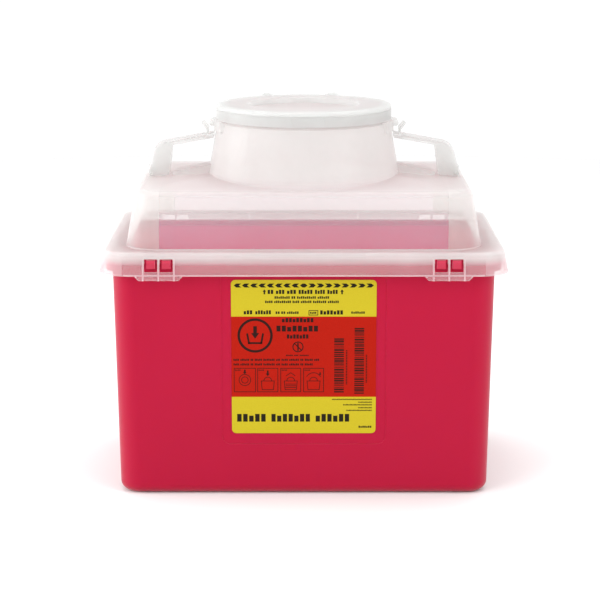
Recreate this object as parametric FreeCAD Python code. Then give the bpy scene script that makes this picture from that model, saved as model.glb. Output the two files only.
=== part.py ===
"""Sharps container: a red drafted bin, a clear press-on top with a round neck, two swing-up
carrying handles, and a round cap ring with a flip-up entry flap.

Millimetres, +Z up.  The origin is under the middle of the bin, on the plane it stands on.
The front, which carries the label, faces -Y.  Each loose piece is its own solid and file.
"""
import FreeCAD
import Part
import os
from math import atan, cos, degrees, radians, sin

Vector = FreeCAD.Vector
ORIGIN = Vector(0, 0, 0)
UP = Vector(0, 0, 1)
ALONG_X = Vector(1, 0, 0)
ALONG_Y = Vector(0, 1, 0)

# ---- driving dimensions ---------------------------------------------------------------
SKIRT_LENGTH = 324.2              # over the skirt of the clear top, along X
SKIRT_WIDTH = 221.4               # over the skirt of the clear top, along Y
FLANGE_Z = 199.4                  # top of the clear top's flat flange
TOP_WALL = 1.6                    # wall of the clear top
CLOSURE_TOP_Z = 305.6             # top face of the closed entry flap
OVERLAP = 1.0                     # how far cutting and joined blocks run past a face

# red bin
BIN_FOOT_HALF = (148.6, 97.7)     # half length and half width on the ground
BIN_MOUTH_HALF = (152.0, 101.1)   # the same at the mouth
BIN_MOUTH_Z = 190.6               # the webs of the clear top rest on the rim here
BIN_CORNER = 17.0                 # plan radius of the upright corners
BIN_WALL = 1.9
BIN_FLOOR = 3.6
BIN_EDGE = 8.0                    # round along the bottom edge
FOOT_RECESS_DEPTH = 1.6
FOOT_RECESS_HALF = (124.0, 74.0)
RIM_REACH = 5.2                   # how far the folded rim stands out from the mouth
RIM_DROP_Z = 183.4                # lower edge of the rim's down-turned lip

# catches moulded on the rim, which stand in windows in the skirt
CATCH_PAIR_X = 113.8
CATCH_PITCH = 12.2                # between the two catches of a pair
CATCH_WIDTH = 9.4                 # of the plate that fills the window
CATCH_FOOT_Z = 184.9
CATCH_HEAD_Z = 194.2              # of the front ones; the back ones end level with the rim
CATCH_BORDER = 1.3                # plate left showing at both sides of the catch block
CATCH_SILL = 2.3                  # and below it
CATCH_LEAD_IN = 1.0               # slope at the top that lets the skirt ride over
CATCH_PROUD = 110.2               # y of the catch block's outer face
WINDOW_GAP = 0.5
WINDOW_CUT = (0.1, 10.1)          # depth range of a window's cut, from the catch plate

# clear top
SKIRT_Z = 181.4                   # lower edge of the skirt
SKIRT_CORNER = 24.0
SKIRT_LEAN = 3.0                  # the skirt leans in by this much up to the flange
SKIRT_EDGE = 3.0                  # round between skirt and flange
HEM_PROUD = 0.4                   # bead along the skirt's lower edge
HEM_HEIGHT = 1.1
WEB_X = 48.0                      # webs under the flange that sit on the rim
WEB_Y = 40.0
RIB_WIDTH = 1.3
RIB_PROUD = 0.8
RIB_HEAD = 0.6                    # how far the ribs run up into the rounded edge
TONGUE_DROP = 3.5                 # guide tongue below each pair of catches
TONGUE_HEAD_HALF = 19.0           # its half width at the skirt's edge
TONGUE_FOOT_HALF = 15.8           # and at its own lower edge
GRIP_BAR_HALF = 48.8              # raised bar in the middle of the skirt's upper edge
GRIP_BAR_DROP = (0.4, 4.0)        # its upper and lower edge, below the flange
GRIP_BAR_PROUD = 1.0
GRIP_STEP_LENGTH = 13.9           # lower step at each end of the bar
GRIP_STEP_DROP = (1.6, 3.2)
GRIP_STEP_PROUD = 0.6
GROOVE_DROP = (1.9, 2.5)          # groove along the bar
GROOVE_PROUD = 0.4                # of its floor
RISER_FOOT_HALF = (142.5, 97.0)
RISER_HEAD_HALF = (133.6, 93.2)
RISER_CORNER = 29.0               # plan radius of its corners at the foot
RISER_HEAD_CORNER = 20.1          # and at the head, about the same centre along X
SHOULDER_Z = 245.3                # where the upright walls round over into the shoulder
SHOULDER_EDGE = 6.0
SHOULDER_RISE = 4.3               # height gained from there to the neck
NECK_FOOT_RADIUS = 77.9
NECK_FOOT_Z = 252.9
NECK_HEAD_RADIUS = 71.2
NECK_HEAD_Z = 291.0
NECK_BLEND = 8.0                  # round between shoulder and neck
NECK_SINK = 0.2                   # the round's outer edge is sunk into the shoulder
FINISH_RADIUS = 68.9              # upright lip that the cap ring snaps over
FINISH_TOP_Z = 300.1
BEAD_PROUD = 0.9                  # bead round that lip, which holds the ring down
BEAD_HALF = 1.6                   # half of its height
BEAD_DROP = 2.8                   # from the top of the lip to its middle
BEAD_SLOPE = 1.0                  # height of the slope on its underside
SADDLE_HALF = 10.0                # half width of the ridge under each handle
SADDLE_RISE = 4.6                 # how far it stands over the shoulder
SADDLE_SETBACK = 16.6             # from its outer end to the handle's hinge
SADDLE_ROOT = 8.0                 # how far it runs into the neck
SADDLE_END_LEAN = 1.0             # its outer end leans in by this much
PLUG_GAP = 0.7                    # between the locating lip and the inside of the bin
PLUG_Z = 186.9

# handles: x and z of the right-hand one, the left one is its mirror image
HANDLE_HALF = 11.0                # half of the strap's width
HANDLE_WEB = 2.0
HANDLE_PIVOT = (125.6, 248.7)
BARREL_RADIUS = 2.6
BARREL_HALF = 5.9
SLOT_HEIGHT = 4.4                 # cut in the strap that lets it swing round the lugs
HOLLOW_START = 7.0                # solid length at the neck end of the channel
STRAP_REACH = 9.0                 # more than the strap reaches out past its hinge
SLOT_CLEARANCE = 0.5              # between the slot and the barrel
BEND_SHARE = 0.7                  # part of a wall's thickness taken off at the bend
BEND_END_SHARE = 0.3              # and along the strap at the bend's two ends
HINGE_LUG_RANGE = (6.3, 8.6)
PIN_RADIUS = 1.3
PIN_FIT = 0.08                    # radial running clearance on every hinge pin
BAR_END = (74.2, 281.6)           # outer line of the strap, from the neck to the foot
BAR_CORNER = (113.4, 274.5)
BEND_MIDDLE = (121.7, 270.6)
POST_HEAD = (124.9, 263.6)
GRIP_END_Z = 278.2                # inner line: underside of the bar at the neck end
GRIP_CORNER = (108.3, 272.0)
POST_FOOT_X = 111.3
POST_FOOT_RISE = 1.2              # how far that corner lies above the post's lower edge
KEEPER_X = 75.5                   # bar on the neck that the handle's tongue hooks behind
KEEPER_Z = 290.2
KEEPER_RADIUS = 2.3
KEEPER_CHEEK = 2.0                # thickness of the two cheeks that hold it
CHEEK_ROOT = 0.5                  # how far they run into the neck's lip
PRONG_RANGE = (1.8, 7.6)          # y range of each prong of the handle's tongue
PRONG_THICKNESS = 1.7
PRONG_GAP = 0.5                   # between the keeper bar and the tongue
PRONG_BEND_DROP = 6.0             # from the keeper down to where the tab starts
PRONG_TAB = (4.0, 5.6)            # how far its finger tab reaches out and up
BOSS_RADIUS = 74.3
BOSS_HALF = 31.0
BOSS_Z = (284.0, 292.8)
BOSS_GAP_DEPTH = 3.0              # notch in the boss behind the keeper

# cap ring and entry flap
CAP_RADIUS = 72.2
CAP_WALL = 1.6
CAP_SKIRT_Z = 293.4
CAP_SEAT_Z = FINISH_TOP_Z + CAP_WALL      # top face of the cap ring
CAP_BORE = 64.8                   # radius of the entry opening
CAP_LIP_DROP = 6.0                # its inner lip reaches this far below the neck's top
CAP_HOOK_DROP = 4.8               # and so far down starts the hook under the neck's bead
CAP_HOOK_FIT = 0.35               # between the hook and the lip
CAP_HOOK_STEP = 0.6               # height of its slope, and of its face
CAP_BACKING = (0.1, 1.1)          # radial range of the thickening, from the skirt's faces
CAP_BACKING_DROP = 0.8            # its upper part reaches this far below the lip's top
CAP_TURN = 3.0                    # degrees that the cap sits turned on the neck
THUMB_FLAT = 71.0                 # distance of the thumb flat from the axis
THUMB_HALF = 16.0                 # half width of the thickening behind it
FLAP_LIFT = 0.3                   # gap between the closed flap and the ring
FLAP_EDGE = 2.4                   # round along the flap's outer edge
DISH_EDGE = 1.0                   # and along the rim of its dish
DISH_LEAN = 1.2                   # the dish's wall leans in by this much
DISH_RADIUS = 46.0
DISH_DEPTH = 4.6
FLAP_PLUG_RADIUS = 64.2
FLAP_PLUG_Z = 296.8
FLAP_PLUG_LEAD_IN = (0.6, 2.0)    # radius and height of the slope at the plug's foot
FLAP_AXIS = (74.8, 304.4)         # y and z of the flap's hinge axis before the turn
KNUCKLE_X = 28.4
KNUCKLE_RADIUS = 3.2
KNUCKLE_HALF = 2.7
KNUCKLE_ARM = 11.0                # length of the arm that joins it to the flap
KNUCKLE_ARM_INSET = (0.9, 0.6)    # of the arm, from the ring's top and the flap's top
LUG_RANGE = (3.05, 5.85)          # hinge lugs, measured from the middle of the knuckle
LUG_FOOT_RISE = 2.5               # from the ring's lower edge to the foot of the lugs
LUG_ROOT = 22.0                   # how far they run in from the hinge axis
LUG_RADIUS = 3.0
LUG_SLOPE = (5.0, 4.0)            # where their sloped foot starts, in from and below the axis

# label
LABEL_WIDTH = 115.0
LABEL_HEIGHT = 125.7
LABEL_FOOT_Z = 51.0
LABEL_CORNER = 3.5
LABEL_THICKNESS = 0.25
PANEL_DEPTH = 0.45                # the flat panel behind the label is sunk by this much
PANEL_WIDTH = 131.0
PANEL_FOOT_Z = 42.0
PANEL_HEAD_Z = 187.0


# ---- helpers --------------------------------------------------------------------------
def rounded_rectangle(half, radius, z):
    """Closed wire: a rectangle of half sizes `half` with round corners, at height z."""
    edges = []
    for turn in range(4):
        reach, side = half if turn % 2 == 0 else (half[1], half[0])
        spin = FreeCAD.Rotation(UP, 90 * turn)
        start = Vector(reach, radius - side, z)
        bend = Vector(reach, side - radius, z)
        centre = Vector(reach - radius, side - radius, z)
        middle = centre + Vector(cos(radians(45)), sin(radians(45)), 0) * radius
        end = Vector(reach - radius, side, z)
        start, bend, middle, end = [spin.multVec(p) for p in (start, bend, middle, end)]
        edges.append(Part.makeLine(start, bend))
        edges.append(Part.Arc(bend, middle, end).toShape())
    return Part.Wire(edges)


def tapered_block(low, high):
    """Solid between two rounded rectangles, each given as (half, radius, z)."""
    wires = [rounded_rectangle(*low), rounded_rectangle(*high)]
    return Part.makeLoft(wires, True, True)


def round_level(block, radius, z):
    """Fillet the edges of a block that lie in the plane at height z."""
    edges = [edge for edge in block.Edges
             if abs(edge.BoundBox.ZMin - z) < 0.01 and edge.BoundBox.ZLength < 0.01]
    return block.makeFillet(radius, edges)


def shrink(half, amount):
    """Half sizes pulled in by the same amount all round."""
    return (half[0] - amount, half[1] - amount)


def turned(steps):
    """Solid of revolution about Z; a step is (radius, z), or a middle point and an end."""
    points = [[Vector(step[i], 0, step[i + 1]) for i in range(0, len(step), 2)]
              for step in steps]
    edges = []
    for last, point in zip(points, points[1:] + points[:1]):
        if len(point) == 2:
            edges.append(Part.Arc(last[-1], point[0], point[1]).toShape())
        else:
            edges.append(Part.makeLine(last[-1], point[0]))
    return Part.Face(Part.Wire(edges)).revolve(ORIGIN, UP, 360)


def ring(outer, inner, low, high):
    """Plain round ring about Z."""
    return turned([(inner, low), (outer, low), (outer, high), (inner, high)])


def box(x_range, y_range, z_range):
    """Axis-aligned block from its limits."""
    low = Vector(x_range[0], y_range[0], z_range[0])
    high = Vector(x_range[1], y_range[1], z_range[1])
    size = high - low
    return Part.makeBox(size.x, size.y, size.z, low)


def prism_along_y(points, y_range):
    """Prism along Y from (x, z) corners."""
    corners = [Vector(x, y_range[0], z) for x, z in points]
    face = Part.Face(Part.makePolygon(corners + corners[:1]))
    return face.extrude(Vector(0, y_range[1] - y_range[0], 0))


def prism_along_x(points, x_range):
    """Prism along X from (y, z) corners."""
    corners = [Vector(x_range[0], y, z) for y, z in points]
    face = Part.Face(Part.makePolygon(corners + corners[:1]))
    return face.extrude(Vector(x_range[1] - x_range[0], 0, 0))


def rod_along_y(x, z, radius, half):
    """Round rod along Y, centred on y = 0."""
    return Part.makeCylinder(radius, 2 * half, Vector(x, -half, z), ALONG_Y)


def rod_along_x(y, z, radius, x_range):
    """Round rod along X."""
    return Part.makeCylinder(radius, x_range[1] - x_range[0],
                             Vector(x_range[0], y, z), ALONG_X)


def mirrored(shape, normal):
    """Mirror image in the plane through the origin with this normal."""
    return shape.mirror(ORIGIN, normal)


def with_mirrors(shapes, normal):
    """The shapes and their mirror images."""
    return shapes + [mirrored(shape, normal) for shape in shapes]


# ---- red bin --------------------------------------------------------------------------
def bin_half_at(z):
    """Half length and half width of the bin's outside at height z."""
    share = z / BIN_MOUTH_Z
    return tuple(foot + (mouth - foot) * share
                 for foot, mouth in zip(BIN_FOOT_HALF, BIN_MOUTH_HALF))


def bin_tub():
    """Drafted tub with a rounded bottom edge, before its rim."""
    outside = tapered_block((BIN_FOOT_HALF, BIN_CORNER, 0.0),
                            (BIN_MOUTH_HALF, BIN_CORNER, BIN_MOUTH_Z))
    inner_corner = BIN_CORNER - BIN_WALL
    inside = tapered_block(
        (shrink(bin_half_at(BIN_FLOOR), BIN_WALL), inner_corner, BIN_FLOOR),
        (shrink(BIN_MOUTH_HALF, BIN_WALL), inner_corner, BIN_MOUTH_Z))
    outside = round_level(outside, BIN_EDGE, 0.0)
    inside = round_level(inside, BIN_EDGE - BIN_FLOOR, BIN_FLOOR)
    return outside.cut(inside)


def bin_rim():
    """Rim folded outward and down, which stiffens the mouth and carries the catches."""
    reach = tuple(half + RIM_REACH for half in BIN_MOUTH_HALF)
    corner = BIN_CORNER + RIM_REACH
    outside = tapered_block((reach, corner, RIM_DROP_Z), (reach, corner, BIN_MOUTH_Z))
    hollow_half = shrink(reach, BIN_WALL)
    hollow_corner = corner - BIN_WALL
    hollow = tapered_block((hollow_half, hollow_corner, RIM_DROP_Z),
                           (hollow_half, hollow_corner, BIN_MOUTH_Z - BIN_WALL))
    mouth_half = shrink(BIN_MOUTH_HALF, BIN_WALL / 2)
    mouth_corner = BIN_CORNER - BIN_WALL / 2
    mouth = tapered_block((mouth_half, mouth_corner, RIM_DROP_Z),
                          (mouth_half, mouth_corner, BIN_MOUTH_Z))
    return outside.cut(hollow).cut(mouth)


def catch(x, side):
    """Plate standing on the rim's lip, and the block on it that the skirt rides over."""
    root = BIN_MOUTH_HALF[1] + RIM_REACH - BIN_WALL
    face = BIN_MOUTH_HALF[1] + RIM_REACH
    top = CATCH_HEAD_Z if side < 0 else BIN_MOUTH_Z
    plate = box((x - CATCH_WIDTH / 2, x + CATCH_WIDTH / 2), sorted((side * root, side * face)),
                (CATCH_FOOT_Z, top))
    foot = CATCH_FOOT_Z + CATCH_SILL
    head = top - CATCH_LEAD_IN / 2
    profile = [(root, foot), (CATCH_PROUD, foot), (CATCH_PROUD, head - 2 * CATCH_LEAD_IN),
               (CATCH_PROUD - CATCH_LEAD_IN, head), (root, head)]
    half = CATCH_WIDTH / 2 - CATCH_BORDER
    block = prism_along_x([(side * y, z) for y, z in profile], (x - half, x + half))
    return plate.fuse(block)


def catch_places():
    """(x, side) of every catch: two to a pair, a pair near each corner."""
    return [(corner * CATCH_PAIR_X + step * CATCH_PITCH / 2, side)
            for side in (-1, 1) for corner in (-1, 1) for step in (-1, 1)]


def on_front_wall(size, corner, foot_z, depth_range):
    """Flat plate on the bin's leaning front wall; depths are measured outward from it."""
    width, height = size
    outline = rounded_rectangle((width / 2, height / 2), corner, depth_range[0])
    plate = Part.Face(outline).extrude(UP * (depth_range[1] - depth_range[0]))
    lean = degrees(atan((BIN_MOUTH_HALF[1] - BIN_FOOT_HALF[1]) / BIN_MOUTH_Z))
    plate.rotate(ORIGIN, ALONG_X, 90 + lean)
    middle_z = foot_z + height / 2
    plate.translate(Vector(0, -bin_half_at(middle_z)[1], middle_z))
    return plate


def base_bin():
    """The whole red moulding."""
    catches = [catch(x, side) for x, side in catch_places()]
    body = bin_tub().fuse([bin_rim()] + catches)
    recess = tapered_block((FOOT_RECESS_HALF, BIN_CORNER, -OVERLAP),
                           (FOOT_RECESS_HALF, BIN_CORNER, FOOT_RECESS_DEPTH))
    panel = on_front_wall((PANEL_WIDTH, PANEL_HEAD_Z - PANEL_FOOT_Z), 2 * LABEL_CORNER,
                          PANEL_FOOT_Z, (-PANEL_DEPTH, PANEL_DEPTH))
    return body.cut([recess, panel]).removeSplitter()


def front_label():
    """Printed film stuck on the sunk panel."""
    return on_front_wall((LABEL_WIDTH, LABEL_HEIGHT), LABEL_CORNER, LABEL_FOOT_Z,
                         (-PANEL_DEPTH, LABEL_THICKNESS - PANEL_DEPTH))


# ---- clear top ------------------------------------------------------------------------
def skirt_half(z):
    """Half sizes of the skirt's outside at height z."""
    lean = SKIRT_LEAN * (z - SKIRT_Z) / (FLANGE_Z - SKIRT_Z)
    return shrink((SKIRT_LENGTH / 2, SKIRT_WIDTH / 2), lean)


def skirt_and_flange():
    """Down-turned skirt closed by the flat flange."""
    outside = tapered_block((skirt_half(SKIRT_Z), SKIRT_CORNER, SKIRT_Z),
                            (skirt_half(FLANGE_Z), SKIRT_CORNER - SKIRT_LEAN, FLANGE_Z))
    outside = round_level(outside, SKIRT_EDGE, FLANGE_Z)
    ceiling = FLANGE_Z - TOP_WALL
    inside = tapered_block(
        (shrink(skirt_half(SKIRT_Z), TOP_WALL), SKIRT_CORNER - TOP_WALL, SKIRT_Z),
        (shrink(skirt_half(ceiling), TOP_WALL), SKIRT_CORNER - SKIRT_LEAN - TOP_WALL, ceiling))
    hem_half = shrink(skirt_half(SKIRT_Z), -HEM_PROUD)
    hem_corner = SKIRT_CORNER + HEM_PROUD
    hem = tapered_block((hem_half, hem_corner, SKIRT_Z),
                        (hem_half, hem_corner, SKIRT_Z + HEM_HEIGHT))
    return outside.fuse(hem).cut(inside)


def seat_webs():
    """Upright webs between the lip and the skirt that carry the top on the bin's rim."""
    top = FLANGE_Z - TOP_WALL / 2
    webs = []
    for place, axis in ((WEB_X, 1), (WEB_Y, 0)):
        near = BIN_MOUTH_HALF[axis] - BIN_WALL - PLUG_GAP - TOP_WALL / 2
        far = skirt_half(BIN_MOUTH_Z)[axis] - TOP_WALL / 2
        for step in (-1, 1):
            for side in (-1, 1):
                thin = (step * place - RIB_WIDTH / 2, step * place + RIB_WIDTH / 2)
                deep = sorted((side * near, side * far))
                ranges = (thin, deep) if axis else (deep, thin)
                webs.append(box(*ranges, (BIN_MOUTH_Z, top)))
    trim = tapered_block(
        (shrink(skirt_half(SKIRT_Z), TOP_WALL / 2), SKIRT_CORNER, SKIRT_Z),
        (shrink(skirt_half(FLANGE_Z), TOP_WALL / 2), SKIRT_CORNER - SKIRT_LEAN, FLANGE_Z))
    return [web.common(trim) for web in webs]


def locating_lip():
    """Lip under the flange that sits inside the bin's mouth."""
    half = shrink(BIN_MOUTH_HALF, BIN_WALL + PLUG_GAP)
    corner = BIN_CORNER - BIN_WALL - PLUG_GAP
    top = FLANGE_Z - TOP_WALL / 2
    outside = tapered_block((half, corner, PLUG_Z), (half, corner, top))
    inner_half = shrink(half, TOP_WALL)
    inside = tapered_block((inner_half, corner - TOP_WALL, PLUG_Z),
                           (inner_half, corner - TOP_WALL, top))
    return outside.cut(inside)


def riser(inset):
    """Block of the raised walls, pulled in all round by `inset`."""
    foot_z = FLANGE_Z - TOP_WALL - inset
    block = tapered_block(
        (shrink(RISER_FOOT_HALF, inset), RISER_CORNER - inset, foot_z),
        (shrink(RISER_HEAD_HALF, inset), RISER_HEAD_CORNER - inset, SHOULDER_Z - inset))
    return round_level(block, SHOULDER_EDGE - inset, SHOULDER_Z - inset)


def shoulder(inset):
    """Low hipped roof on the riser, whose creases run from its corners to the neck."""
    base_z = SHOULDER_Z - inset
    foot = base_z - SHOULDER_EDGE / 2
    half_x, half_y = shrink(RISER_HEAD_HALF, SHOULDER_EDGE)
    run_x = half_x - NECK_HEAD_RADIUS
    run_y = half_y - NECK_HEAD_RADIUS / 4
    gables = []
    for half, run, prism in ((half_x, run_x, prism_along_y), (half_y, run_y, prism_along_x)):
        ridge = base_z + SHOULDER_RISE * half / run
        profile = [(-half, foot), (half, foot), (half, base_z), (0, ridge), (-half, base_z)]
        gables.append(prism(profile, (-SKIRT_LENGTH, SKIRT_LENGTH)))
    corner = RISER_HEAD_CORNER - SHOULDER_EDGE
    top = base_z + 4 * SHOULDER_RISE
    plan = tapered_block(((half_x, half_y), corner, foot), ((half_x, half_y), corner, top))
    return gables[0].common(gables[1]).common(plan)


def neck(inset):
    """Solid neck with a flared foot; `inset` gives its hollow."""
    foot_radius = NECK_FOOT_RADIUS - inset
    blend = NECK_BLEND
    flare_z = SHOULDER_Z - inset - NECK_SINK
    bulge = blend * (1 - cos(radians(45)))
    top = FINISH_TOP_Z + inset
    return turned([
        (0, flare_z - TOP_WALL),
        (foot_radius + blend, flare_z - TOP_WALL),
        (foot_radius + blend, flare_z),
        (foot_radius + bulge, flare_z + bulge, foot_radius, NECK_FOOT_Z),
        (NECK_HEAD_RADIUS - inset, NECK_HEAD_Z),
        (FINISH_RADIUS - inset, NECK_HEAD_Z + TOP_WALL),
        (FINISH_RADIUS - inset, top),
        (0, top)])


def saddle(inset):
    """Ridge from the neck to the foot of the right-hand handle."""
    near = NECK_FOOT_RADIUS - SADDLE_ROOT
    far = HANDLE_PIVOT[0] - SADDLE_SETBACK - inset
    foot = SHOULDER_Z - TOP_WALL - inset
    rise = SADDLE_RISE - inset
    return prism_along_y([(near, foot), (far, foot),
                          (far - SADDLE_END_LEAN, SHOULDER_Z + rise),
                          (near, NECK_FOOT_Z + rise)],
                         (inset - SADDLE_HALF, SADDLE_HALF - inset))


def top_shell():
    """Skirt, flange, riser, shoulder and neck as one thin wall."""
    solids = [form(0) for form in (riser, shoulder, neck)]
    hollows = [form(TOP_WALL) for form in (riser, shoulder, neck)]
    solids += with_mirrors([saddle(0)], ALONG_X)
    hollows += with_mirrors([saddle(TOP_WALL)], ALONG_X)
    shell = skirt_and_flange().fuse(solids).cut(hollows)
    return shell.fuse([locating_lip()] + seat_webs())


def snap_bead():
    """Bead round the neck's lip that holds the cap ring down."""
    middle = FINISH_TOP_Z - BEAD_DROP
    root = FINISH_RADIUS - TOP_WALL / 2
    low, high = middle - BEAD_HALF, middle + BEAD_HALF
    return turned([(root, low), (FINISH_RADIUS, low),
                   (FINISH_RADIUS + BEAD_PROUD, low + BEAD_SLOPE),
                   (FINISH_RADIUS, high), (root, high)])


def on_skirt(x_range, z_range, proud):
    """Strip on the front of the leaning skirt, standing out by `proud`."""
    low, high = z_range
    points = [(-(skirt_half(z)[1] + out), z)
              for z, out in ((low, proud), (high, proud), (high, -OVERLAP), (low, -OVERLAP))]
    return prism_along_x(points, x_range)


def catch_frame():
    """Ribs beside, between and over two windows, and the tongue below them."""
    reach = CATCH_PITCH + RIB_WIDTH / 2
    rib_top = FLANGE_Z - SKIRT_EDGE + RIB_HEAD
    ribs = []
    for step in (-1, 0, 1):
        x = CATCH_PAIR_X + step * CATCH_PITCH
        ribs.append(on_skirt((x - RIB_WIDTH / 2, x + RIB_WIDTH / 2),
                             (SKIRT_Z - TONGUE_DROP, rib_top), RIB_PROUD))
    head = CATCH_HEAD_Z + WINDOW_GAP
    ribs.append(on_skirt((CATCH_PAIR_X - reach, CATCH_PAIR_X + reach),
                         (head, head + RIB_WIDTH), RIB_PROUD))
    return ribs + catch_tongue()


def catch_tongue():
    """Guide tongue that hangs below a pair of windows, with its own hem."""
    wide, narrow = TONGUE_HEAD_HALF, TONGUE_FOOT_HALF
    foot = SKIRT_Z - TONGUE_DROP
    outside = -skirt_half(SKIRT_Z)[1]

    def outline(inset):
        return [(CATCH_PAIR_X - wide, SKIRT_Z + HEM_HEIGHT),
                (CATCH_PAIR_X + wide, SKIRT_Z + HEM_HEIGHT),
                (CATCH_PAIR_X + wide - inset, SKIRT_Z),
                (CATCH_PAIR_X + narrow - inset, foot + inset),
                (CATCH_PAIR_X - narrow + inset, foot + inset),
                (CATCH_PAIR_X - wide + inset, SKIRT_Z)]

    tongue = prism_along_y(outline(0), (outside, outside + TOP_WALL))
    hem = prism_along_y(outline(0), (outside - HEM_PROUD, outside + TOP_WALL / 2))
    middle = prism_along_y(outline(HEM_HEIGHT), (outside - OVERLAP, outside))
    return [tongue, hem.cut(middle)]


def below_flange(drops):
    """Height range of a strip given by how far its edges lie below the flange."""
    return (FLANGE_Z - drops[1], FLANGE_Z - drops[0])


def grip_bar():
    """Raised bar along the middle of the skirt's upper edge, with stepped ends."""
    half = GRIP_BAR_HALF
    bar = on_skirt((-half, half), below_flange(GRIP_BAR_DROP), GRIP_BAR_PROUD)
    groove = on_skirt((-half - OVERLAP, half + OVERLAP), below_flange(GROOVE_DROP),
                      2 * GRIP_BAR_PROUD)
    groove = groove.cut(on_skirt((-2 * half, 2 * half), below_flange(GRIP_BAR_DROP),
                                 GROOVE_PROUD))
    end = on_skirt((half, half + GRIP_STEP_LENGTH), below_flange(GRIP_STEP_DROP),
                   GRIP_STEP_PROUD)
    return [bar.cut(groove), end, mirrored(end, ALONG_X)]


def windows():
    """Openings in the skirt that the catches stand in."""
    half = CATCH_WIDTH / 2 + WINDOW_GAP
    z_range = (CATCH_FOOT_Z - WINDOW_GAP, CATCH_HEAD_Z + WINDOW_GAP)
    near, far = [BIN_MOUTH_HALF[1] + RIM_REACH + depth for depth in WINDOW_CUT]
    return [box((x - half, x + half), sorted((side * near, side * far)), z_range)
            for x, side in catch_places()]


def neck_clip():
    """Boss on the right of the neck with the keeper bar for the handle's tongue."""
    boss = ring(BOSS_RADIUS, FINISH_RADIUS - OVERLAP, *BOSS_Z)
    boss = boss.common(box((0, 2 * BOSS_RADIUS), (-BOSS_HALF, BOSS_HALF), BOSS_Z))
    inner = SADDLE_HALF - KEEPER_CHEEK / 2
    outer = SADDLE_HALF + KEEPER_CHEEK / 2
    cheek = box((FINISH_RADIUS - CHEEK_ROOT, KEEPER_X), (inner, outer),
                (KEEPER_Z - KEEPER_RADIUS, KEEPER_Z + KEEPER_RADIUS))
    keeper = rod_along_y(KEEPER_X, KEEPER_Z, KEEPER_RADIUS, outer)
    gap = box((BOSS_RADIUS - BOSS_GAP_DEPTH, 2 * BOSS_RADIUS), (-inner, inner),
              (BOSS_Z[0] - OVERLAP, BOSS_Z[1] + OVERLAP))
    return boss.cut(gap).fuse([cheek, mirrored(cheek, ALONG_Y), keeper])


def handle_lugs():
    """Two lugs with one pin through them at the foot of the right-hand handle."""
    x, z = HANDLE_PIVOT
    low = SHOULDER_Z - TOP_WALL / 2
    shapes = [rod_along_y(x, z, PIN_RADIUS, HINGE_LUG_RANGE[1])]
    for side in (-1, 1):
        y_range = sorted(side * y for y in HINGE_LUG_RANGE)
        shapes.append(box((x - BARREL_RADIUS, x + BARREL_RADIUS), y_range, (low, z)))
        shapes.append(Part.makeCylinder(BARREL_RADIUS, y_range[1] - y_range[0],
                                        Vector(x, y_range[0], z), ALONG_Y))
    return shapes[0].fuse(shapes[1:])


def lid_top():
    """The whole clear moulding."""
    front = with_mirrors(catch_frame(), ALONG_X) + grip_bar()
    details = with_mirrors(front, ALONG_Y)
    details += with_mirrors([neck_clip(), handle_lugs()], ALONG_X)
    details.append(snap_bead())
    body = top_shell().fuse(details).cut(windows())
    hollow = neck(TOP_WALL)
    return body.cut(hollow).removeSplitter()


# ---- handles --------------------------------------------------------------------------
def under_strap(inset, floor_z):
    """Face in the XZ plane under the strap's outer line, which is pulled in by `inset`."""
    bar_end = Vector(BAR_END[0], 0, BAR_END[1] - inset)
    bar_corner = Vector(BAR_CORNER[0] - inset * BEND_END_SHARE, 0, BAR_CORNER[1] - inset)
    at_bend = inset * BEND_SHARE
    bend = Vector(BEND_MIDDLE[0] - at_bend, 0, BEND_MIDDLE[1] - at_bend)
    post_head = Vector(POST_HEAD[0] - inset, 0, POST_HEAD[1] - inset * BEND_END_SHARE)
    foot = Vector(HANDLE_PIVOT[0] + BARREL_RADIUS - inset, 0, HANDLE_PIVOT[1])
    rest = [foot, Vector(foot.x, 0, floor_z), Vector(bar_end.x, 0, floor_z), bar_end]
    edges = [Part.makeLine(bar_end, bar_corner),
             Part.Arc(bar_corner, bend, post_head).toShape(),
             Part.makeLine(post_head, foot)]
    edges += [Part.makeLine(a, b) for a, b in zip(rest, rest[1:])]
    return Part.Face(Part.Wire(edges))


def across(face, half):
    """Prism of a face in the XZ plane, reaching `half` to both sides."""
    face.translate(ALONG_Y * -half)
    return face.extrude(ALONG_Y * 2 * half)


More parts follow.
